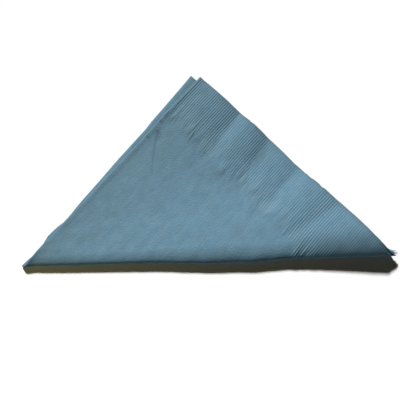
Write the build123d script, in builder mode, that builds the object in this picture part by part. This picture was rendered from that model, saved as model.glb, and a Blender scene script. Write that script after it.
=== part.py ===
from build123d import *
import os
from math import asin, atan2, cos, degrees, hypot, pi, sin

# A paper napkin: one embossed tissue sheet, folded in quarters and then folded once more,
# corner to corner, into a triangle. It lies on the table on its lower half.
# Millimetres. X runs along the last fold, from the sheet's centre (the closed corner) to the
# four cut corners, Y runs from the last fold to the tip of the triangle, and Z is up.

# The sheet. Its two sides differ a little, so the two halves of the triangle don't quite match.
sheet_length = 330.0
sheet_width = 322.0
paper = 0.35
layer_gap = 0.12

# The embossed border along the four cut edges: fine ribs square to the edge.
border_width = 34.0
rib_pitch = 1.475
groove_width = 0.9
groove_depth = 0.2

# The last fold is a loose bend. It is creased tight at the closed corner and springs open
# towards the cut corners, so it is a cone. These are its inside radii at the two corners.
closed_corner_radius = 0.8
cut_corner_radius = 3.4
tip_gap = 0.3

# A creased fold is nearly a half round: its radius is this share of the thickness it closes.
crease_share = 0.45

# The quarter folded packet is a rectangle from the closed corner to the cut corner. Its first
# fold makes pairs of layers, and its second fold lays one pair on the other.
long_side = sheet_length / 2
short_side = sheet_width / 2
pair = 2 * paper + layer_gap
packet = 2 * pair + layer_gap
diagonal = hypot(long_side, short_side)
diagonal_angle = atan2(short_side, long_side)

# The bend's outside radius half way along the fold, and the angle of its cone.
bend_radius = (closed_corner_radius + cut_corner_radius) / 2 + packet
middle_radius = bend_radius - packet / 2
taper = asin((cut_corner_radius - closed_corner_radius) / diagonal)

# The upper half slopes down from the top of the bend until its tip meets the lower half.
tip_reach = long_side * short_side / diagonal - pi / 2 * middle_radius
tip_height = 2 * packet + tip_gap
tip_distance = hypot(tip_reach, bend_radius - tip_height)
slope = asin(bend_radius / tip_distance) + atan2(bend_radius - tip_height, tip_reach)

# Paper wraps round the bend through this angle, which takes up half_arc of each half. Unrolled,
# the bend is a narrow sector, so the two halves turn apart by its angle.
wrap = pi + slope
half_arc = wrap / 2 * middle_radius
sector = wrap * sin(taper)
bend_axis = Axis((0, 0, bend_radius / cos(taper)), (-cos(taper), 0, -sin(taper)))

# How far a cutting tool reaches past what it cuts.
past = 2.0


def sheet_plane(side):
    """The packet's outer face on one side of the last fold, unrolled flat on the table.

    Side 1 is the lower half, at positive Y, and side -1 the upper half, at negative Y. The origin
    is the middle of the packet, X and Y run along its long and short sides, away from the closed
    corner, and Z goes into the paper."""
    turn = -diagonal_angle - side * sector / 2
    return Plane(
        origin=(0, -side * half_arc, 0), x_dir=(cos(turn), sin(turn), 0), z_dir=(0, 0, 1)
    )


def edge_ways(side):
    """The directions of one half's folded edge and cut edge, away from the closed corner."""
    plane = sheet_plane(side)
    return (plane.y_dir, plane.x_dir) if side > 0 else (plane.x_dir, plane.y_dir)


def gap_level(index):
    """Depth of one of the air gaps between layers, from the packet's outer face."""
    return (index + 1) * paper + index * layer_gap


def half_packet(side, crease_radius, setbacks):
    """One half of the packet, unrolled flat on the table, from the last fold to its tip.

    Each air gap runs in from the cut edge and stops at its setback from the folded edge."""
    plane = sheet_plane(side)
    fold_way, cut_way = edge_ways(side)
    fold_edge, cut_edge = (short_side, long_side) if side > 0 else (long_side, short_side)
    border_start = plane.origin + fold_way * (fold_edge / 2 - border_width)
    rib_plane = Plane(origin=border_start, x_dir=cut_way * side, z_dir=fold_way)
    with BuildPart() as half:
        with BuildSketch(plane):
            Rectangle(long_side, short_side)
        extrude(amount=packet)
        split(bisect_by=Plane.XZ, keep=Keep.BOTTOM if side > 0 else Keep.TOP)
        for index, setback in enumerate(setbacks):
            with BuildSketch(plane.offset(gap_level(index))):
                with Locations((setback - long_side / 2, setback - short_side / 2)):
                    Rectangle(2 * long_side, 2 * short_side, align=(Align.MIN, Align.MIN))
            extrude(amount=layer_gap, mode=Mode.SUBTRACT)
        fold_rims = half.edges().filter_by(Axis(plane.origin, fold_way))
        fillet(fold_rims.group_by(Axis(plane.origin, cut_way))[0], crease_radius)
        with BuildSketch(rib_plane):
            with GridLocations(rib_pitch, 0, int(cut_edge / rib_pitch), 1):
                Polygon(
                    (-groove_width / 2, 0), (groove_width / 2, 0), (0, -groove_depth), align=None
                )
        extrude(amount=border_width + past, mode=Mode.SUBTRACT)
    return half.part


def bend_start(side, corner, edge_way):
    """Where the packet's edge from one corner reaches the bend, along X."""
    point = sheet_plane(side).from_local_coords(corner)
    return point.X - point.Y * edge_way.X / edge_way.Y


def end_x(start, tip, y):
    """The slanted end of the bend in plan: the line from the edge it carries on to its tip."""
    return start + (tip[0] - start) * y / tip[1]


def bend_strip(level, thickness, closed_shift, cut_shift):
    """A layer of the bend, between two depths in the packet, trimmed to the packet's corners."""
    front = -2 * bend_radius
    with BuildPart() as strip:
        with BuildSketch(Plane.XZ):
            with Locations((0, level)):
                Rectangle(diagonal + 4 * past, thickness, align=(Align.CENTER, Align.MIN))
        revolve(axis=bend_axis, revolution_arc=degrees(wrap))
        with BuildSketch(Plane.XY):
            Polygon(
                (end_x(closed_start, closed_tip, past) + closed_shift, past),
                (end_x(closed_start, closed_tip, front) + closed_shift, front),
                (end_x(cut_start, cut_tip, front) + cut_shift, front),
                (end_x(cut_start, cut_tip, past) + cut_shift, past),
                align=None,
            )
        extrude(amount=4 * bend_radius, both=True, mode=Mode.INTERSECT)
    return strip.part


closed_corner = (-long_side / 2, -short_side / 2)
cut_corner = (long_side / 2, short_side / 2)
closed_start = min(bend_start(side, closed_corner, edge_ways(side)[0]) for side in (1, -1))
cut_start = max(bend_start(side, cut_corner, edge_ways(side)[1]) for side in (1, -1))
closed_tip = (-diagonal / 2, -closed_corner_radius - packet)
cut_tip = (diagonal / 2, -cut_corner_radius - packet)

nested_setbacks = [packet / 2, packet / 2 + paper, packet / 2]
paired_setbacks = [pair / 2, -past, pair / 2]
lower = half_packet(1, crease_share * packet, nested_setbacks)
upper = half_packet(-1, crease_share * pair, paired_setbacks)

with BuildPart() as folded:
    add(bend_strip(0, packet, 0, 0))
    for index, setback in enumerate(nested_setbacks):
        add(bend_strip(gap_level(index), layer_gap, setback, past), mode=Mode.SUBTRACT)
    add(lower)
    add(upper.rotate(bend_axis, degrees(wrap)))

box = folded.part.bounding_box()
with BuildPart() as napkin:
    with Locations((-box.center().X, -box.center().Y, -box.min.Z)):
        add(folded.part)

os.makedirs("parts", exist_ok=True)
napkin.part.label = "napkin"
export_step(napkin.part, "parts/napkin.step")
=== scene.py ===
# %% [markdown]
# # A paper napkin, folded into a triangle
# The real thing is one sheet of creped tissue with a ribbed border pressed into it. The factory folds it
# in half twice, which gives a packet of four layers, and a hand has folded that packet once more, from
# corner to corner. A solid triangle with lines painted on would look dead at the edges, so this lesson
# draws the sheet flat, in millimetres, and folds it by the same three folds in the same order.

import math

import bmesh
import bpy
import numpy as np
from mathutils import Matrix, Vector, noise


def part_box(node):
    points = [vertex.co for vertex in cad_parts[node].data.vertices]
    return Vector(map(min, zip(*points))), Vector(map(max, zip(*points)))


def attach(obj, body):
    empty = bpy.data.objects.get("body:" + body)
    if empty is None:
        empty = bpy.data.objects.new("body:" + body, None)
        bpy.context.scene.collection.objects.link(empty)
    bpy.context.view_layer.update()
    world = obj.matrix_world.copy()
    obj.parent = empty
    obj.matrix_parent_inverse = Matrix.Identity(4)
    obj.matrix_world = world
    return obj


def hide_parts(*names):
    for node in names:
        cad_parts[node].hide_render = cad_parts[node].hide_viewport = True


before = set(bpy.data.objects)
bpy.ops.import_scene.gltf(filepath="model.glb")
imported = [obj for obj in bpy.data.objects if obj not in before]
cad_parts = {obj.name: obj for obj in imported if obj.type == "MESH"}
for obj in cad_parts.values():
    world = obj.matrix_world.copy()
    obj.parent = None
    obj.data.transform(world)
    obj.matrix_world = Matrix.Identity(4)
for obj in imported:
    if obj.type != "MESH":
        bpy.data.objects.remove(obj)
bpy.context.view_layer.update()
napkin_low, napkin_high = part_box("napkin")
print("the CAD napkin's sides in mm:", [round(1000 * side, 1) for side in napkin_high - napkin_low])

# %% [markdown]
# ## The sheet
# A luncheon napkin is about 330 mm across, and this one is 8 mm shorter one way, which is why the two tips
# of the triangle don't quite meet. Four layers of soft tissue lie in the packet with a little air between.

# %% Sizes of the packet, in millimetres
long_side = 165.0
short_side = 161.0
paper = 0.31
air = 0.16
layer = paper + air
packet = 3 * layer + paper
fold_line = math.hypot(long_side, short_side)
print(f"a packet of {packet:.2f} mm, folded along {fold_line:.1f} mm")

# %% [markdown]
# ## The last fold, seen from its end
# The packet is springy, so the last fold is no sharp crease. Seen from its end it is a narrow leaf: a tight
# nose on the table, a wide crown that rolls over, and then a long slope down to the lower half. It opens
# from the closed corner to the cut corners. The outline of that leaf is drawn by its curvature: each
# stretch of paper turns by its length divided by its radius, and adding up the small steps gives the curve.

# %% Sizes of the leaf along the fold
# Places run from -0.5 at the closed corner to 0.5 at the cut corners.
nose_places = [-0.5, 0.0, 0.27, 0.5]
nose_radii = [1.0, 1.65, 2.0, 4.0]
nose_turn_places = [-0.5, -0.12, 0.1, 0.3, 0.5]
nose_turns = np.radians([153.0, 152.0, 144.0, 147.0, 148.0])
crown_places = [-0.5, -0.27, 0.04, 0.2, 0.26, 0.33, 0.5]
crown_radii = [8.0, 10.0, 13.0, 11.5, 15.0, 18.5, 20.0]
# The crown is tighter at its front than at its back.
crown_front, crown_back = 0.8, 1.15
crown_turn = math.radians(165.0)
back_slope = math.radians(7.0)
# The upper half comes to rest on the lower one, with a little air between them.
rest_gap = 0.3
rest_level = packet + rest_gap + packet / 2
least_drop = 0.2
print(f"the crown's radius goes from {crown_radii[0]:.0f} to {crown_radii[-1]:.0f} mm")

# %% Draw the leaf at many stations
# The stations reach a little past both ends of the fold. Corners of the leaf are blurred over a few steps.
station_count, end_station = 54, 0.53
stations = np.linspace(-end_station, end_station, station_count) * fold_line
arc_length, arc_step = 130.0, 0.1
arc = np.arange(0.0, arc_length, arc_step)
blur_steps = 15


def leaf_section(x):
    """Direction, y and z of the packet's middle, by the length of paper from where it leaves the table."""
    place = x / fold_line
    nose = np.interp(place, nose_places, nose_radii)
    nose_turn = np.interp(place, nose_turn_places, nose_turns)
    crown = np.interp(place, crown_places, crown_radii)
    turns = [0.0, nose_turn, crown_turn, math.pi + back_slope]
    radii = [nose, crown_front * crown, crown_back * crown]
    rises = [r * (math.cos(a) - math.cos(b)) for r, a, b in zip(radii, turns, turns[1:])]
    crest = packet / 2 + sum(rises)
    sag = max(crest - rest_level, least_drop) / (1 - math.cos(back_slope))
    lengths = [r * (b - a) for r, a, b in zip(radii, turns, turns[1:])]
    ends = np.cumsum([0.0] + lengths + [sag * back_slope])
    turn = np.interp(arc, ends, turns + [math.pi])
    kernel = np.hanning(blur_steps)
    turn = np.convolve(np.pad(turn, blur_steps // 2, mode="edge"), kernel / kernel.sum(), mode="valid")
    y = np.concatenate([[0.0], np.cumsum(-np.cos(turn) * arc_step)[:-1]])
    z = packet / 2 + np.concatenate([[0.0], np.cumsum(np.sin(turn) * arc_step)[:-1]])
    return turn, y, z


sections = np.array([leaf_section(x) for x in stations])
print(f"the fold stands {sections[0, 2].max():.1f} to {sections[-1, 2].max():.1f} mm high")

# %% [markdown]
# ## Folding a point of the sheet
# A cloth simulation could fold the sheet, but it would choose for itself where each fold ends up. Here each
# fold has its own place, so formulas do the folding. A point of the flat sheet is (u, v), measured from the
# sheet's centre. The first fold lays v below zero under v above zero, and the second does the same for u. A
# folded edge is a half round, so a point within a few tenths of a millimetre of a fold goes round it instead
# of jumping from layer to layer. Soft paper never keeps a folded edge quite straight, so two small tables
# say how far the edges stray.


# %% Soft steps and soft hills
def smooth(low, high, value):
    """A step from 0 to 1 between two values, with no corners in it."""
    share = np.clip((value - low) / (high - low), 0.0, 1.0)
    return share * share * (3 - 2 * share)


def hill(distance, reach):
    """1 at no distance, and dying away softly around the reach."""
    return np.exp(-((distance / reach) ** 2))


def across_fold(u, v):
    """How far a point is from the last fold: above zero on the upper half, below zero on the lower."""
    return (np.abs(u) * short_side - np.abs(v) * long_side) / fold_line


print(f"the tip is {across_fold(long_side, 0.0):.1f} mm from the last fold")

# %% The two quarter folds
# Forms that belong to one half fade in between these distances from the last fold.
half_starts = (2.0, 10.0)
# The upper half's folded edge springs open near the tip, and less so further down.
spring = 0.28
spring_reach = 2.3
spring_ends = (18.0, 48.0)
spring_loss = 0.85
# Beside its folds the packet is pressed flatter, and at the cut corners its layers fan out.
flattening = 0.75
flattened_reach = 10.0
splay = 0.9
splay_reach = 15.0
# The lower half's folded edge curls up a little off the table.
curl = 0.5
curl_reach = 4.0
# How far the two folded edges stray outwards, by distance from the closed corner.
lower_edge_places = [0, 4, 8, 13, 18, 21, 25, 29, 32, 36, 43]
lower_edge_places += [47, 55, 73, 88, 116, 122, 136, 151, 156, 161]
lower_edge = [0, -0.4, -1.2, -1.2, -0.5, 1.1, 0.7, 0.5, 0.1, -0.8, -1]
lower_edge += [-0.6, -0.4, -0.3, 0, -0.3, 0.2, 0.4, 0.7, 0.9, 1]
lower_edge_reach = 7.0
upper_edge_places = [0, 8, 12, 16, 20, 25, 60, 100, 130, 165]
upper_edge = [0.4, 1.0, 0.7, 0.7, 0.8, 0.3, 0.5, 0.8, 0.8, 0.3]
upper_edge_reach = 22.0


def quarter_folds(u, v, skin):
    """Place in the packet's plan, and distance out from the packet's middle, of one side of the paper."""
    upper = smooth(*half_starts, across_fold(u, v))
    lower = smooth(*half_starts, -across_fold(u, v))
    from_tip = long_side - np.abs(u)
    opened = spring * upper * hill(v, spring_reach) * (1 - spring_loss * smooth(*spring_ends, from_tip))
    fanned = splay * layer * hill(np.hypot(from_tip, short_side - np.abs(v)), splay_reach)
    flattened = flattening * hill(np.minimum(np.abs(u), np.abs(v)), flattened_reach)
    step = paper + air * (1 - flattened) + opened + fanned
    first = np.clip(v / (step / 2), -math.pi / 2, math.pi / 2)
    first_radius = step / 2 + skin
    second_middle = step * (1 + np.sin(first) / 2)
    second_radius = step + first_radius * np.sin(first)
    second = np.clip(u / second_middle, -math.pi / 2, math.pi / 2)
    # The packet grows by three steps. Opened layers stand up off the lower half; fanned ones hang down.
    out = second_radius * np.sin(second) + 3 / 2 * (opened - fanned)
    across = (step + paper) / 2 - first_radius * np.cos(first)
    across += np.maximum(0.0, np.abs(v) - math.pi / 4 * step)
    along = (3 * step + paper) / 2 - second_radius * np.cos(second)
    along += np.maximum(0.0, np.abs(u) - math.pi / 2 * second_middle)
    strays = np.interp(np.abs(v), lower_edge_places, lower_edge) * hill(along, lower_edge_reach)
    along = along - lower * strays
    out = out - lower * curl * hill(along, curl_reach)
    strays = np.interp(np.abs(u), upper_edge_places, upper_edge) * hill(across, upper_edge_reach)
    across = across - upper * strays
    return along, across, out


_, _, face = quarter_folds(np.array([long_side / 2]), np.array([short_side / 2]), paper / 2)
print(f"the outer face lies {face[0]:.2f} mm out from the packet's middle")

# %% The last fold
# The hand missed the diagonal by a little, so the two halves share the bend's paper unequally.
missed_by = 1.3
fold_share = np.array([(arc[-1] - y[-1]) / 2 - missed_by for _, y, _ in sections])
# The fold bellies out to the front, by place along it, and the closed corner is drawn out like a beak.
belly_places = [-115, -99, -62, -31, -12, 0, 18, 31, 50, 62, 74, 93, 112, 122]
belly = [0.2, 0.7, 1.3, 1.8, 3.0, 3.7, 4.0, 4.3, 3.2, 3.1, 2.9, 2.4, 2.1, 2.0]
belly_reach = 14.0
beak_left, beak_forward = 2.0, 1.0
beak_reach = 4.5


def last_fold(along, across, out, loose=1.0):
    """Where a point of the packet ends up when the packet is folded from corner to corner."""
    x = (along * long_side + across * short_side) / fold_line - fold_line / 2
    beyond = (along * short_side - across * long_side) / fold_line
    column = np.clip((x - stations[0]) / (stations[1] - stations[0]), 0, len(stations) - 1.001)
    left = column.astype(int)
    share = column - left
    length = beyond + fold_share[left] * (1 - share) + fold_share[left + 1] * share
    place = np.clip(length / arc_step, 0, len(arc) - 1.001)
    near = place.astype(int)
    rest = place - near
    corners = [(left, near, (1 - share) * (1 - rest)), (left + 1, near, share * (1 - rest))]
    corners += [(left, near + 1, (1 - share) * rest), (left + 1, near + 1, share * rest)]
    turn, y, z = sum(sections[i, :, j] * weight[:, None] for i, j, weight in corners).T
    y = y + np.maximum(0.0, -length)
    y = y - loose * np.interp(x, belly_places, belly) / (1 + (beyond / belly_reach) ** 2)
    drawn = loose * hill(x + fold_line / 2, beak_reach)
    x, y = x - beak_left * drawn, y - beak_forward * drawn
    return np.stack([x, y - out * np.sin(turn), z - out * np.cos(turn)], axis=1)


fold_middle = last_fold(np.array([long_side / 2]), np.array([short_side / 2]), np.zeros(1))
print("the middle of the last fold, before it is set in place, is at", np.round(fold_middle[0], 1))

# %% [markdown]
# ## Waves of the border
# Two heated rollers press the ribs into the border, and the pressed border stretches a little. The spare
# length has nowhere to go, so it stands up in waves with soft backs and narrow valleys. Each wave is drawn
# as a hump between two valleys, and the valleys lean because the waves fan out. The tip, the middle and the
# folded edge of the upper half stand a little off the lower half as well, as springy paper does.

# %% Waves of the whole upper half
# Distance from the cut edge to where the ribs end, by distance along the edge from the tip.
rib_reach_places = [0.0, 11.0, 24.0, 34.5, 54.0, 82.0, 100.0, 114.0, 161.0]
rib_reach = [29.0, 29.2, 30.0, 33.2, 30.8, 36.7, 33.4, 38.5, 38.0]
valley_places = np.array([-2.0, 33.8, 59.0, 83.5, 116.5, 154.0])
valley_leans = np.array([0.05, 0.11, 0.22, 0.05, -0.24, -0.2])
valley_softness = np.array([0.01, 0.01, 0.3, 0.04, 0.05, 0.03])
wave_heights = np.array([2.0, 3.5, 1.2, 2.1, 1.0])
wave_flatness = np.array([2.0, 2.2, 2.0, 2.0, 2.0])
# A valley softens inwards, by this much at this distance from the cut edge.
inner_softness = 0.04
inner_reach = 35.0
# The waves fade out around the ribs' ends, and towards the last fold.
wave_ends = (-20.0, 16.0)
wave_starts = (3.0, 24.0)
# Lifts of the tip, of the middle, and of the folded edge, which stands higher towards the closed corner.
tip_lift = 2.2
tip_lift_reach = 70.0
loft = 0.8
loft_ends = (0.0, 45.0)
rim_lift = 0.35
rim_lift_reach = 5.0
corner_lift = 1.2
corner_lift_reach = 18.0
corner_lift_ends = (20.0, 110.0)
rim_starts = (2.0, 12.0)


def waves(u, v):
    """How far the upper half stands up off the lower half, in millimetres."""
    from_edge = long_side - np.abs(u)
    along_edge = np.abs(v)
    height = np.zeros_like(along_edge)
    for k, top in enumerate(wave_heights):
        start = valley_places[k] + valley_leans[k] * from_edge
        end = valley_places[k + 1] + valley_leans[k + 1] * from_edge
        share = np.clip((along_edge - start) / (end - start), 0.0, 1.0)
        hump = 1 - np.abs(2 * share - 1) ** wave_flatness[k]
        soft = valley_softness[k] * (1 - share) + valley_softness[k + 1] * share
        soft += inner_softness * (from_edge / inner_reach) ** 2
        height += top * (np.sqrt(hump**2 + soft) - np.sqrt(soft))
    height *= 1 - smooth(*wave_ends, from_edge - np.interp(along_edge, rib_reach_places, rib_reach))
    lift = tip_lift * (1 - smooth(0.0, tip_lift_reach, np.hypot(from_edge, along_edge)))
    lift += loft * smooth(*loft_ends, from_edge)
    by_closed_corner = 1 - smooth(*corner_lift_ends, np.abs(u))
    rim = rim_lift * hill(along_edge, rim_lift_reach)
    rim += corner_lift * hill(along_edge, corner_lift_reach) * by_closed_corner
    beyond = across_fold(u, v)
    return (height + lift) * smooth(*wave_starts, beyond) + rim * smooth(*rim_starts, beyond)


print(f"the tip stands {waves(np.array([long_side]), np.zeros(1))[0]:.1f} mm off the lower half")

# %% [markdown]
# ## Ribs, gathers and kinks
# The ribs stand square to the cut edge, about 1.4 mm apart, and each one dies out at its own length. Where
# a few neighbours die out together the tissue gathers, and the last millimetres of the ribs bend. Bump in
# the material could draw all this, but its edges would stay smooth, so it is real relief. Chance sets the
# lengths and heights, from a fixed seed, so each run draws the same napkin. The fine kinks near the tip are
# listed, each along a line of points.

# %% Places and heights of the ribs
rib_count = 117
edge_share = np.linspace(0.0, 1.0, 401)
# The pitch changes slowly along the edge. Adding up its inverse tells how many ribs lie before a place.
pitch_places = [0.0, 0.3, 0.6, 0.72, 0.8, 1.0]
rib_pitch = np.interp(edge_share, pitch_places, [1.355, 1.40, 1.445, 1.41, 1.27, 1.23])
ribs_so_far = np.concatenate([[0.0], np.cumsum(1 / rib_pitch[1:])])
ribs_so_far *= rib_count / ribs_so_far[-1]
rib_height_places = [0.0, 40.0, 75.0, 92.0, 110.0, 130.0, 161.0]
rib_height = [0.105, 0.095, 0.08, 0.065, 0.115, 0.18, 0.18]

# A rib ends a little early or late by itself, and more so together with the neighbours of its group.
rib_strays, group_strays = 1.1, 2.0
smallest_group, largest_group = 2, 5
gather_heights = (0.05, 0.42)
end_heights = (0.4, 1.5)
end_palenesses = (-0.3, 1.0)

chance = np.random.default_rng(seed=4)
rib_jitter = chance.normal(0.0, rib_strays, rib_count + 1)
group_ends = np.cumsum(chance.integers(smallest_group, largest_group + 1, rib_count))
group_of_rib = np.searchsorted(group_ends, np.arange(rib_count + 1))
rib_jitter += chance.normal(0.0, group_strays, rib_count + 1)[group_of_rib]
gather_height = chance.uniform(*gather_heights, rib_count + 1)
end_height = chance.uniform(*end_heights, rib_count + 1)
end_paleness = chance.uniform(*end_palenesses, rib_count + 1)
print(f"{rib_count} ribs, {short_side / rib_count:.2f} mm apart on average")

# %% Ribs and gathers
# The ribs bend over their last stretch, and run straight again near the cut corners.
bend_start, bend_length = -10.0, 16.0
end_bend = 0.008
bend_ends = (90.0, 125.0)
# Near the cut corners the rib ends are less ragged.
ragged_loss = 0.8
ragged_ends = (115.0, 145.0)
# Stretches before and past a rib's end, in millimetres.
uneven_stretch = (-11.0, -3.0)
rib_fade = (-5.0, 1.5)
gather_stretch = (-11.0, -2.0)
gather_fade = (-2.0, 3.0)


def find_rib(along_edge, from_edge, side):
    """Place along the row of ribs, the nearest rib, and how far a point is past that rib's end."""
    past_end = from_edge - np.interp(along_edge, rib_reach_places, rib_reach)
    bend = end_bend * np.clip(past_end - bend_start, 0.0, bend_length) ** 2
    bend *= 1 - smooth(*bend_ends, along_edge)
    place = np.interp((along_edge - bend) / side, edge_share, ribs_so_far)
    rib = np.clip(np.rint(place).astype(int), 0, rib_count)
    return place, rib, past_end - rib_jitter[rib]


def ribs(along_edge, from_edge, side):
    """The pressed ribs, square to the cut edge. Each one dies out at its own length."""
    place, rib, past_end = find_rib(along_edge, from_edge, side)
    tall = np.interp(along_edge, rib_height_places, rib_height) * np.cos(2 * math.pi * place)
    ragged = 1 - ragged_loss * smooth(*ragged_ends, along_edge)
    tall *= 1 + ragged * (end_height[rib] - 1) * smooth(*uneven_stretch, past_end)
    group = group_of_rib[rib]
    first = np.where(group > 0, group_ends[group - 1] + 0.5, 0.0) - 0.5
    inside = np.clip((place - first) / (group_ends[group] + 0.5 - first), 0.0, 1.0)
    gather = ragged * gather_height[group] * np.sin(math.pi * inside)
    gather *= smooth(*gather_stretch, past_end)
    return tall * (1 - smooth(*rib_fade, past_end)) + gather * (1 - smooth(*gather_fade, past_end))


_, _, past_end = find_rib(np.array([short_side / 2]), np.zeros(1), short_side)
print(f"half way along the cut edge a rib is {-past_end[0]:.0f} mm long")

# %% Kinks, and the whole relief of the outer face
# Depth, half width and points (u, v) of each kink. It is deepest at its first point.
kinks = [
    (0.28, 0.5, [(123.0, 4.3), (118.9, 6.1), (113.9, 9.1), (108.4, 12.8), (99.1, 20.3)]),
    (0.2, 0.5, [(121.0, 7.0), (118.0, 8.6)]),
    (0.2, 0.5, [(114.6, 1.7), (114.7, 4.0)]),
    (0.28, 0.5, [(135.8, 1.2), (131.0, 2.8)]),
    (0.25, 0.45, [(132.9, 0.9), (131.0, 1.5)]),
    (0.25, 0.5, [(127.7, 1.2), (127.7, 2.9)]),
    (0.2, 0.5, [(122.0, 3.9), (122.0, 6.5)]),
]
kink_loss = 0.55
deepest_kink = max(deep for deep, _, _ in kinks)
# Slack paper between the folds: its height, and the length and width of its hollows.
slack = 0.10
slack_length, slack_width = 26.0, 6.0
slack_starts = (1.0, 6.0)
# The lower face's ribs fade in over this width beside the last fold. No groove goes through the paper.
turn_width = 4.0
deepest_groove = 0.26


def kink_depth(u, v):
    """Thin kinks in the tissue, each along a line of points."""
    depth = np.zeros_like(u)
    for deep, width, points in kinks:
        for k, ((u0, v0), (u1, v1)) in enumerate(zip(points, points[1:])):
            run = (u1 - u0) ** 2 + (v1 - v0) ** 2
            share = np.clip(((u - u0) * (u1 - u0) + (v - v0) * (v1 - v0)) / run, 0.0, 1.0)
            away = np.hypot(u - u0 - share * (u1 - u0), v - v0 - share * (v1 - v0))
            fade = 1 - kink_loss * (k + share) / (len(points) - 1)
            depth = np.maximum(depth, deep * fade * hill(away, width))
    return depth


def pressed(u, v):
    """Relief of the packet's outer face, in millimetres, above zero where it stands out."""
    beyond = across_fold(u, v)
    top = ribs(v, long_side - u, short_side) - kink_depth(u, v)
    hollows = [noise.noise((a / slack_length, b / slack_width, 0.0)) for a, b in zip(u, v)]
    top += slack * np.array(hollows) * smooth(*slack_starts, v)
    below = np.minimum(0.0, ribs(u, short_side - v, long_side) - max(rib_height))
    turning = smooth(0.0, turn_width, np.abs(beyond))
    return np.maximum(-deepest_groove, np.where(beyond >= 0, top, below * turning + top * (1 - turning)))


print(f"{len(kinks)} kinks, up to {deepest_kink} mm deep")

# %% [markdown]
# ## A grid on the flat sheet
# An evenly divided plane would spend most of its faces inside the packet, where nothing shows. So the mesh
# is a grid of its own on each half of each quarter, with its rows square to the cut edge, along the ribs.
# The outer face has six rows to a rib in its border, by its folded edge and at the cut corner, and two in
# its plain middle. The faces inside the packet, which show only at their edges, have one row to a rib or
# fewer. Where a dense grid meets a sparse one, a face simply takes in the extra corners, so there are no
# cracks.

# %% Rows and columns
steps_per_rib = 6
row_count = rib_count * steps_per_rib
# Close rows go round the folded edge, as shares of the side. The rows of the ribs start half a rib in.
crease_rows = [0.0, 0.0006, 0.0012, 0.0019, 0.0028]
first_step = steps_per_rib // 2
rib_rows = np.interp(np.arange(first_step, row_count + 1) / steps_per_rib, ribs_so_far, edge_share)
row_share = np.concatenate([crease_rows, rib_rows])
last_row = len(row_share) - 1
# Columns are close round the last fold, even in the plain middle, and in the border they lie at these
# distances from the cut edge, closest where the ribs end. The 104 columns of the middle can be thinned
# evenly by 4, 8 or 13, and the 21 of the border by 3 or 7.
bend_columns, plain_columns = 10, 104
border_marks = [45, 43, 41.3, 39.8, 38.5, 37.3, 36.2, 35.1, 34, 32.9, 31.8]
border_marks += [30.7, 29.6, 28.4, 27, 25, 20.5, 15, 9, 4, 1.2, 0]
border_columns = len(border_marks) - 1
plain_end = bend_columns + plain_columns
last_column = plain_end + border_columns
bend_width, border_width = 6.5, border_marks[0]
# On a short row the bend and the border take at most these shares of its length, and of the rest.
bend_most, border_most = 0.3, 0.8


def some_rows(every):
    """The rows round the folded edge, and then every so many rows to the cut corner."""
    start = len(crease_rows)
    kept = [row for row in range(start, last_row + 1) if (row - start + first_step) % every == 0]
    return list(range(start)) + kept


def some_columns(plain_every, border_every):
    """All the columns of the bend, and every so many of the plain middle and of the border."""
    plain = list(range(bend_columns, plain_end, plain_every))
    return list(range(bend_columns)) + plain + list(range(plain_end, last_column + 1, border_every))


def column_place(row_width, column):
    """Distance of a column from the last fold, along its row."""
    bend = np.minimum(bend_width, bend_most * row_width)
    border = np.minimum(border_width, border_most * (row_width - bend))
    in_bend = bend * column / bend_columns
    in_plain = bend + (row_width - bend - border) * (column - bend_columns) / plain_columns
    mark = np.clip(column - plain_end, 0, border_columns)
    in_border = row_width - border * np.take(border_marks, mark) / border_width
    return np.select([column <= bend_columns, column <= plain_end], [in_bend, in_plain], in_border)


print(f"{last_row + 1} rows and {last_column + 1} columns at the densest")

# %% Which rows go where
# The middle of the outer face is dense up to the first share, near its folded edge, and the cut corner's
# end is dense from the second share on, where the ribs run into the last fold.
dense_until, dense_from = 0.16, 0.62
every_row = list(range(last_row + 1))
middle_rows = [row for row in every_row if row_share[row] < dense_until]
middle_rows += [row for row in some_rows(3) if dense_until <= row_share[row] < dense_from]
corner_rows = every_row[middle_rows[-1] :]
under_rows, deep_rows = some_rows(6), some_rows(9)
print(f"{len(every_row)} rows in the border, {len(middle_rows)} in the middle, {len(deep_rows)} inside")

# %% [markdown]
# ## Corners and faces
# A corner is named by its quarter, its half, its side of the paper, its row and its column. On a fold two
# quarters share their corners, and on the last fold two halves do, so each shared corner gets one name.

# %% Name the corners and collect the cells
UPPER, LOWER = 0, 1
QUARTERS = [(1, 1), (1, -1), (-1, -1), (-1, 1)]


def corner_name(side_u, side_v, half, skin, row, column):
    """One name for each corner, also where several cells meet on a fold."""
    if row == last_row:
        column = 0
    if column == 0:
        half = UPPER
    if row == 0 and (half == UPPER or column == 0):
        side_v = 1
    if row == 0 and (half == LOWER or column == 0):
        side_u = 1
    return side_u, side_v, half, skin, row, column


def layer_rows(side_u, side_v):
    """Rows of a layer's hidden faces: the outer layer keeps more of them, to stay under its ribs."""
    return under_rows if side_u > 0 and side_v > 0 else deep_rows


def outer_blocks(half):
    """Rows and columns of the outer face: its plain middle, the cut corner's end and the border."""
    columns = some_columns(1, 1) if half == UPPER else some_columns(4, 3)
    inner = [column for column in columns if column <= plain_end]
    corner = [column for column in some_columns(8, 1) if column <= plain_end]
    border = [column for column in columns if column >= plain_end]
    return [(middle_rows, inner), (corner_rows, corner), (every_row, border)]


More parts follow.
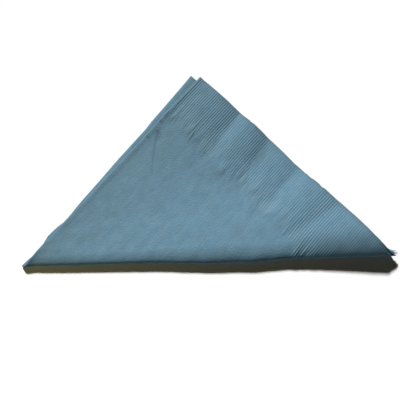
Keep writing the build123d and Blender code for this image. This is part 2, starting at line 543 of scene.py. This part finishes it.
cells = []
edge_rows = len(crease_rows) + 1
for side_u, side_v in QUARTERS:
    for half in (UPPER, LOWER):
        for skin in (1, -1):
            rows = layer_rows(side_u, side_v)
            blocks = [(rows[:edge_rows], some_columns(4, 3)), (rows[edge_rows - 1 :], some_columns(13, 7))]
            if (side_u, side_v, skin) == (1, 1, 1):
                blocks = outer_blocks(half)
            for rows, columns in blocks:
                for row0, row1 in zip(rows, rows[1:]):
                    for column0, column1 in zip(columns, columns[1:]):
                        cells.append((side_u, side_v, half, skin, row0, row1, column0, column1))

used = {}
for side_u, side_v, half, skin, row0, row1, column0, column1 in cells:
    for row, column in ((row0, column0), (row0, column1), (row1, column0), (row1, column1)):
        used.setdefault(corner_name(side_u, side_v, half, skin, row, column), len(used))
print(f"{len(cells)} cells with {len(used)} corners")


# %% Join the corners into faces
def ring(names):
    """A face from the corners that exist, each of them once."""
    found = [used[name] for name in names if name in used]
    return [index for k, index in enumerate(found) if index != found[k - 1]]


faces = []
for side_u, side_v, half, skin, row0, row1, column0, column1 in cells:
    path = [(row0, column) for column in range(column0, column1)]
    path += [(row, column1) for row in range(row0, row1)]
    path += [(row1, column) for column in range(column1, column0, -1)]
    path += [(row, column0) for row in range(row1, row0, -1)]
    faces.append(ring([corner_name(side_u, side_v, half, skin, *place) for place in path]))
# A narrow strip along the cut edge closes each layer.
for side_u, side_v in QUARTERS:
    for half in (UPPER, LOWER):
        rows = layer_rows(side_u, side_v)
        for row0, row1 in zip(rows, rows[1:]):
            path = [(1, row) for row in range(row0, row1 + 1)]
            path += [(-1, row) for row in range(row1, row0 - 1, -1)]
            names = [corner_name(side_u, side_v, half, skin, row, last_column) for skin, row in path]
            faces.append(ring(names))
faces = [face for face in faces if len(face) > 2]
print(f"{len(faces)} faces")

# %% [markdown]
# ## Fold the sheet
# Now every corner goes through the folds at once, as arrays. The knives of the factory leave the cut edge
# slightly uneven, with a few small nicks, so the corners beside it are moved in or out by a hair.

# %% Place the corners on the flat sheet
side_u, side_v, half, skin, row, column = np.array(list(used)).T
share = row_share[row]
is_upper = half == UPPER
is_outer = (side_u > 0) & (side_v > 0) & (skin > 0)
row_width = np.where(is_upper, long_side, short_side) * (1 - share)
run = column_place(row_width, column)
to_cut_edge = row_width - run
flat_u = np.where(is_upper, share * long_side + run, share * long_side)
flat_v = np.where(is_upper, share * short_side, share * short_side + run)

# How far the cut edge lies inwards, by distance from the tip, and place, depth and half width of each nick.
cut_places = [0, 2.5, 17, 25, 37, 46, 58, 72, 80, 87, 98, 106, 112, 117, 131, 141, 146, 150, 154, 158, 161]
cut_wander = [-0.1, -0.1, -0.4, -0.4, -0.1, -0.6, -0.2, 0.3, 0.95, 1.0, 0.3]
cut_wander += [0, 0, -0.3, -0.3, -0.1, -0.2, 0.1, 0.65, 0.4, -0.7]
nicks = [(85.3, 0.35, 0.5), (93.2, 0.35, 0.5), (101.9, 0.45, 0.6), (44.0, 0.3, 0.5), (128.0, 0.3, 0.6)]
# The cut is a little rough as well, differently on the other half. All this stays close to the edge.
rough, rough_length = 0.1, 5.0
other_half = 3.7
uneven_reach = 3.0

along_edge = np.where(is_upper, flat_v, flat_u)
wobble = [noise.noise((s / rough_length, other_half * h, 0.0)) for s, h in zip(along_edge, half)]
uneven = rough + rough * np.array(wobble)
uneven += np.interp(along_edge, cut_places, cut_wander) * is_upper
for place, deep, wide in nicks:
    uneven += deep * hill(along_edge - place, wide) * is_upper
uneven *= np.clip(1 - to_cut_edge / uneven_reach, 0.0, 1.0) * (share > 0) * (share < 1)
flat_u = flat_u - uneven * is_upper
flat_v = flat_v - uneven * ~is_upper

# %% Fold them, and set the napkin in the CAD napkin's place
along, across, out = quarter_folds(side_u * flat_u, side_v * flat_v, skin * paper / 2)
relief = waves(flat_u, flat_v)
relief[is_outer] += pressed(flat_u[is_outer], flat_v[is_outer])
folded = last_fold(along, across, out + relief)

# The plain triangle, with no waves, belly or beak, is what the CAD box was drawn round.
plain = last_fold(along, across, out, loose=0.0)
low, high = plain.min(axis=0), plain.max(axis=0)
shift = 1000 * np.array(napkin_low + napkin_high) / 2 - (low + high) / 2
shift[2] = 1000 * napkin_low.z - low[2]
folded += shift
print("the folded sheet's sides in mm:", np.round(folded.max(axis=0) - folded.min(axis=0), 1))

tips = {
    "upper tip": (1, 1, UPPER, 1, 0, last_column),
    "lower tip": (1, 1, LOWER, 1, 0, last_column),
    "closed corner": (1, 1, UPPER, 1, 0, 0),
    "cut corner": (1, 1, UPPER, 1, last_row, 0),
}
for tip, name in tips.items():
    print(f"{tip} at", np.round(folded[used[name]], 2))

# %% Make the mesh
mesh = bpy.data.meshes.new("napkin_sheet")
mesh.from_pydata((folded / 1000).tolist(), [], faces)
work = bmesh.new()
work.from_mesh(mesh)
bmesh.ops.recalc_face_normals(work, faces=work.faces)
work.to_mesh(mesh)
work.free()
mesh.shade_smooth()
# Edges that turn more than this, such as the cut edges, are shown sharp.
sharp_turn = math.radians(55)
mesh.set_sharp_from_angle(angle=sharp_turn)

# The UV map is the flat sheet itself, so patterns run through the folds as they do on paper.
sheet_uv = mesh.uv_layers.new(name="flat_sheet")
uv_size = 4 * long_side
flat_x = side_u * flat_u + long_side + np.where(skin > 0, 0.0, 2 * long_side)
flat_y = side_v * flat_v + short_side
corner_uv = np.stack([flat_x, flat_y], axis=1) / uv_size
loop_vertices = np.zeros(len(mesh.loops), dtype=np.int32)
mesh.loops.foreach_get("vertex_index", loop_vertices)
sheet_uv.data.foreach_set("uv", corner_uv[loop_vertices].ravel())

napkin = bpy.data.objects.new("napkin_sheet", mesh)
bpy.context.scene.collection.objects.link(napkin)
open_edges = len(mesh.edges) * 2 - len(mesh.loops)
triangles = sum(len(face) - 2 for face in faces)
print(f"{triangles} triangles, {open_edges} open edges")

# %% [markdown]
# ## Painted light and shade, paleness and a greyer tint
# The ribs' backs are paler and their valleys darker, partly dye and partly painted light and shade of the
# ribs, and pale streaks run in where a rib dies out. The upper half's folded edge has a painted highlight
# line, and painted shade darkens the kinks, the valley beside that edge, the closed corner and the lower
# half's folded edge. A greyer, less blue tint lies along the upper half's folded edge, away from the last
# fold and at the cut edges. These three are written on the corners as attributes, because they follow the
# folds and not a pattern.

# %% Paleness and painted highlight
# The backs of the ribs are pale and the valleys darker, partly dye and partly painted light and shade of
# the ribs, and more so near the cut corners, where the ribs lie in shade.
crest_paleness, corner_highlight = 0.8, 1.0
corner_stretch = (115.0, 140.0)
# Streaks come in before a rib's end and fade out past it, over these millimetres.
streak_stretch = (-13.0, -4.0)
streak_fade = (-3.0, 3.0)
# The upper half's folded edge has a painted highlight, a pale line, which starts at some distance from the
# closed corner.
edge_highlight, edge_width = 1.3, 0.6
edge_stretch = (25.0, 60.0)


def pale_and_lit_ribs(along_edge, from_edge, side):
    """How pale the ribs are painted: backs paler and valleys darker, partly dye and partly painted light and
    shade, and in streaks where a rib dies out.
    """
    place, rib, past_end = find_rib(along_edge, from_edge, side)
    crest = np.interp(along_edge, rib_height_places, rib_height) / max(rib_height)
    crest *= np.cos(2 * math.pi * place)
    crest *= crest_paleness + corner_highlight * smooth(*corner_stretch, along_edge)
    streak = end_paleness[rib] * smooth(*streak_stretch, past_end)
    return (crest + streak) * (1 - smooth(*streak_fade, past_end))


# Paleness with painted highlight and shade: ribs and streaks on the outer face, and the highlight line on
# the upper half's folded edge.
pale_and_highlight = np.where(is_outer & is_upper, pale_and_lit_ribs(flat_v, long_side - flat_u, short_side), 0.0)
pale_and_highlight += is_upper * edge_highlight * hill(flat_v, edge_width) * smooth(*edge_stretch, flat_u)
print(f"the dye is drawn thin at {np.count_nonzero(pale_and_highlight > 0.5)} of {len(pale_and_highlight)} corners")

# %% Painted shade, and a greyer tint
# Painted shade darkens the upper face in its kinks and in the shallow valley beside its folded edge.
valley_place, valley_width, valley_shade = 2.6, 1.2, 0.35
valley_start, valley_end = (20.0, 60.0), (138.0, 150.0)
painted_shade = np.minimum(1.0, kink_depth(flat_u, flat_v) / deepest_kink)
in_valley = smooth(*valley_start, flat_u) * (1 - smooth(*valley_end, flat_u))
painted_shade += valley_shade * hill(flat_v - valley_place, valley_width) * in_valley

# Painted shade darkens the closed corner and the lower half's folded edge, most of all near that corner.
corner_shade_dark, corner_shade_width, corner_shade_ends = 0.9, 2.0, (8.0, 20.0)
corner_shade = corner_shade_dark * hill(flat_v, corner_shade_width) * (1 - smooth(*corner_shade_ends, flat_u))
edge_shade_width = 2.5
edge_shade = np.interp(flat_v, [0.0, 40.0, 70.0, 161.0], [0.85, 0.8, 0.4, 0.35]) * hill(flat_u, edge_shade_width)
# All painted shade together: on the outer face, at the closed corner and along the lower half's folded edge.
painted_shade = np.where(is_upper, np.maximum(is_outer * np.minimum(1.0, painted_shade), corner_shade), edge_shade)

# The tint is greyer by the upper half's folded edge and away from the last fold, and greyest at the cut
# edges.
edge_grey, edge_grey_reach = 0.5, 32.0
far_grey, far_starts = 0.2, (15.0, 100.0)
cut_grey, cut_grey_width = 1.6, 1.2
grey_tint = is_upper * edge_grey * hill(flat_v, edge_grey_reach)
grey_tint += far_grey * smooth(*far_starts, np.abs(across_fold(flat_u, flat_v)))
grey_tint = np.maximum(grey_tint, cut_grey * np.clip(1 - to_cut_edge / cut_grey_width, 0.0, 1.0))

for name, values in (("painted_shade", painted_shade), ("grey_tint", grey_tint), ("pale_and_highlight", pale_and_highlight)):
    mesh.attributes.new(name, "FLOAT", "POINT").data.foreach_set("value", values.astype(np.float32))
    print(f"{name} from {values.min():.2f} to {values.max():.2f}")

# %% [markdown]
# ## Creped tissue
# Tissue is scraped off a hot drum by a blade, which packs it into tiny ridges, the crepe. Light sinks in
# between the fibres, so the paper is fully matt, and the dye takes unevenly where the web is thin. A picture
# of tissue would repeat itself, so noise patterns with sizes in millimetres are laid on the flat sheet. The
# crepe is about 0.3 mm on the real sheet; here it is drawn near 1 mm so that it shows at this size.


# %% Helpers for materials
def linear(colour):
    """An sRGB hex colour as linear RGBA."""
    parts = [int(colour[i : i + 2], 16) / 255 for i in (1, 3, 5)]
    return [p / 12.92 if p <= 0.04045 else ((p + 0.055) / 1.055) ** 2.4 for p in parts] + [1.0]


def add_node(tree, kind, settings=None, inputs=None):
    """Adds one node. Each of its inputs, by name or number, takes a value or the socket that feeds it."""
    node = tree.nodes.new(kind)
    for name, value in (settings or {}).items():
        setattr(node, name, value)
    for key, value in (inputs or {}).items():
        if isinstance(value, bpy.types.NodeSocket):
            tree.links.new(value, node.inputs[key])
        else:
            node.inputs[key].default_value = value
    return node


# %% Patterns of the dyed creped tissue
# Light brushes over a matt, slightly furry surface, so there is no gloss and only a breath of sheen.
tissue = bpy.data.materials.new("creped_tissue_dyed_blue")
tissue.use_nodes = True
tree = tissue.node_tree
shader = tree.nodes["Principled BSDF"]
shader.inputs["Roughness"].default_value = 0.95
shader.inputs["Specular IOR Level"].default_value = 0.15
shader.inputs["Sheen Weight"].default_value = 0.08

# Size along and across the sheet in millimetres, detail and roughness of each pattern.
patterns = [
    ("crepe", (5.0, 1.1), 2.0, 0.5),
    ("fibre", (0.9, 0.9), 2.0, 0.5),
    ("cloud", (8.0, 4.0), 7.0, 0.8),
    ("tint", (8.0, 8.0), 4.0, 0.5),
]
sheet_place = add_node(tree, "ShaderNodeUVMap", {"uv_map": "flat_sheet"}).outputs["UV"]
drawn = {}
for name, (size_along, size_across), detail, roughness in patterns:
    scale = (uv_size / size_along, uv_size / size_across, 1.0)
    place = add_node(tree, "ShaderNodeMapping", inputs={"Vector": sheet_place, "Scale": scale})
    settings = {"Scale": 1.0, "Detail": detail, "Roughness": roughness, "Vector": place.outputs["Vector"]}
    drawn[name] = add_node(tree, "ShaderNodeTexNoise", inputs=settings).outputs["Fac"]
for name in ("painted_shade", "grey_tint", "pale_and_highlight"):
    drawn[name] = add_node(tree, "ShaderNodeAttribute", {"attribute_name": name}).outputs["Fac"]
print("patterns and wear to mix:", ", ".join(drawn))

# %% Colour and surface
# Sockets of the mix node for colours: factor, the two colours and the result.
FACTOR, FIRST, SECOND, RESULT = 0, 6, 7, 2
weighted_sum = {"operation": "MULTIPLY_ADD"}
multiply = {"data_type": "RGBA", "blend_type": "MULTIPLY"}

# The dye is cloudy, lighter where paleness and painted highlight lie, and darker in the painted rib valleys.
pale_lightness = 0.22
paled = {0: drawn["pale_and_highlight"], 1: pale_lightness, 2: drawn["cloud"]}
lightness = add_node(tree, "ShaderNodeMath", weighted_sum, paled).outputs["Value"]
dyes = {FACTOR: lightness, FIRST: linear("#4a6e84"), SECOND: linear("#789caf")}
dye = add_node(tree, "ShaderNodeMix", {"data_type": "RGBA"}, dyes)

# Paleness with painted highlight, and the greyer tint, take away some blue, in soft patches. It starts to at
# the least wear.
pale_greying, patch_wear = 0.7, 1.8
least_wear, most_wear = 0.8, 1.9
greying_parts = {0: drawn["pale_and_highlight"], 1: pale_greying, 2: drawn["grey_tint"]}
greying = add_node(tree, "ShaderNodeMath", weighted_sum, greying_parts).outputs["Value"]
patchy = {0: drawn["tint"], 1: patch_wear, 2: greying}
wear = add_node(tree, "ShaderNodeMath", weighted_sum, patchy).outputs["Value"]
levels = {"Value": wear, "From Min": least_wear, "From Max": most_wear}
greyness = add_node(tree, "ShaderNodeMapRange", inputs=levels).outputs["Result"]
greyed = {FACTOR: greyness, FIRST: dye.outputs[RESULT], SECOND: linear("#fbf1e9")}
tinted = add_node(tree, "ShaderNodeMix", multiply, greyed)

# Painted shade darkens the colour.
shade_mix = {FACTOR: drawn["painted_shade"], FIRST: tinted.outputs[RESULT], SECOND: linear("#c8d0d6")}
shaded = add_node(tree, "ShaderNodeMix", multiply, shade_mix)
tree.links.new(shaded.outputs[RESULT], shader.inputs["Base Color"])

# Ridges of the crepe, and finer fibres on top of them, as heights in metres.
ridges = {"Strength": 0.4, "Distance": 0.0002, "Height": drawn["crepe"]}
crepe_bump = add_node(tree, "ShaderNodeBump", inputs=ridges).outputs["Normal"]
fibres = {"Strength": 0.7, "Distance": 0.0003, "Height": drawn["fibre"], "Normal": crepe_bump}
fibre_bump = add_node(tree, "ShaderNodeBump", inputs=fibres).outputs["Normal"]
tree.links.new(fibre_bump, shader.inputs["Normal"])
mesh.materials.append(tissue)
print(f"{tissue.name} has {len(tree.nodes)} nodes")

# %% Ride, replace and name the sheet
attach(napkin, "root")
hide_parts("napkin")

# %% [markdown]
# ## Floor
# The floor is a sheet of white card. White in every way, it would throw too much light up into the shade in
# front of the fold. So only the camera sees it white, and light that bounces off it meets a bluish grey.


# %% White card
def white_when_seen(tree, plain, white):
    """Mixes two shaders: the white one for what the camera sees, the plain one for light that bounces."""
    path = add_node(tree, "ShaderNodeLightPath")
    seen = path.outputs["Is Camera Ray"]
    for kind in ("Is Glossy Ray", "Is Transmission Ray"):
        either = {0: seen, 1: path.outputs[kind]}
        seen = add_node(tree, "ShaderNodeMath", {"operation": "MAXIMUM"}, either).outputs["Value"]
    both = {0: seen, 1: plain.outputs[0], 2: white.outputs[0]}
    return add_node(tree, "ShaderNodeMixShader", inputs=both).outputs["Shader"]


floor_half = 3.0
# A tenth of a millimetre lower, so that the card never cuts into the paper.
floor_gap = 0.0001
floor_corners = [(-floor_half, -floor_half, 0), (floor_half, -floor_half, 0)]
floor_corners += [(floor_half, floor_half, 0), (-floor_half, floor_half, 0)]
floor_mesh = bpy.data.meshes.new("floor")
floor_mesh.from_pydata(floor_corners, [], [(0, 1, 2, 3)])
floor = bpy.data.objects.new("floor", floor_mesh)
bpy.context.scene.collection.objects.link(floor)
floor.location.z = napkin_low.z - floor_gap

floor_paint = bpy.data.materials.new("matt_white_card")
floor_paint.use_nodes = True
tree = floor_paint.node_tree
tree.nodes.remove(tree.nodes["Principled BSDF"])
white = add_node(tree, "ShaderNodeBsdfDiffuse", inputs={"Color": linear("#ffffff")})
grey = add_node(tree, "ShaderNodeBsdfDiffuse", inputs={"Color": linear("#9cb0c0")})
tree.links.new(white_when_seen(tree, grey, white), tree.nodes["Material Output"].inputs["Surface"])
floor_mesh.materials.append(floor_paint)
print(f"a floor {2 * floor_half:.0f} m wide, just under the napkin")

# %% [markdown]
# ## Light
# The napkin was lit from behind its tip by one window, low enough to rake across the ribs. A lamp close by
# would be brighter on one side, so a sun lamp with some width gives that light, at one level everywhere and
# just enough for the white card to come out white. The shade in front of the fold is filled by three weak
# lamps the camera can't see: a warm card at the left, and a low glow off the table, warm at the left and
# cool at the right. The room itself adds very little.

# %% Window
room_level = 0.011
full_level = 1.005
sun_height = math.radians(33.0)
sun_turn = math.radians(4.0)
sun = bpy.data.lights.new("window", "SUN")
sun.energy = (full_level - room_level) * math.pi / math.sin(sun_height)
sun.angle = math.radians(7.0)
window = bpy.data.objects.new("window", sun)
bpy.context.scene.collection.objects.link(window)
window.rotation_euler = (sun_height - math.pi / 2, 0, sun_turn)
print(f"a window {math.degrees(sun_height):.0f} degrees up, of strength {sun.energy:.2f}")

# %% Weak lamps in front
# Name, place, aim, width and height in metres, power in watts and colour.
fills = [
    ("card", (-0.22, -0.2, 0.09), (-0.06, -0.06, 0.0), (0.12, 0.12), 0.068, "#fff0a2"),
    ("warm_glow", (-0.125, -0.32, 0.014), (-0.125, 0.0, 0.014), (0.25, 0.02), 0.035, "#fff6dc"),
    ("cool_glow", (0.125, -0.32, 0.014), (0.125, 0.0, 0.014), (0.25, 0.02), 0.038, "#b4d2ff"),
]
for name, place, aim, (wide, tall), power, colour in fills:
    fill = bpy.data.lights.new(name, "AREA")
    fill.shape = "RECTANGLE"
    fill.size, fill.size_y = wide, tall
    fill.energy = power
    fill.color = linear(colour)[:3]
    lamp = bpy.data.objects.new(name, fill)
    bpy.context.scene.collection.objects.link(lamp)
    lamp.location = place
    lamp.rotation_euler = (Vector(aim) - lamp.location).to_track_quat("-Z", "Y").to_euler()
    lamp.visible_camera = False
    print(f"{name}: {power} W")

# %% Room
world = bpy.data.worlds.new("room")
world.use_nodes = True
tree = world.node_tree
dim = tree.nodes["Background"]
dim.inputs["Color"].default_value = linear("#fff6de")
dim.inputs["Strength"].default_value = room_level
bright = add_node(tree, "ShaderNodeBackground", inputs={"Color": linear("#ffffff"), "Strength": 1.0})
tree.links.new(white_when_seen(tree, dim, bright), tree.nodes["World Output"].inputs["Surface"])
bpy.context.scene.world = world
print(f"the room adds {room_level / full_level:.1%} of the light")

# %% [markdown]
# ## Camera
# The photograph was taken by hand from almost straight above, at arm's length. The camera stands off from a
# point under the napkin, tilted by small turns about each axis, and its lens takes in a width of 25 cm.

# %% Camera
camera_data = bpy.data.cameras.new("camera")
camera = bpy.data.objects.new("camera", camera_data)
bpy.context.scene.collection.objects.link(camera)
bpy.context.scene.camera = camera
camera_aim = (-0.00170, -0.02083, napkin_low.z)
camera_distance = 0.43
frame_width = 0.25068
camera_data.sensor_width = 36.0
camera_data.lens = camera_data.sensor_width * camera_distance / frame_width
camera_data.clip_end = 20.0
camera.matrix_world = Matrix.Translation(camera_aim)
for axis, degrees in (("Z", -2.52), ("Y", 6.82), ("X", 7.64)):
    camera.matrix_world = camera.matrix_world @ Matrix.Rotation(math.radians(degrees), 4, axis)
camera.matrix_world = camera.matrix_world @ Matrix.Translation((0, 0, camera_distance))
bpy.context.scene.view_settings.view_transform = "Standard"
print("camera at", [round(1000 * part) for part in camera.matrix_world.translation])
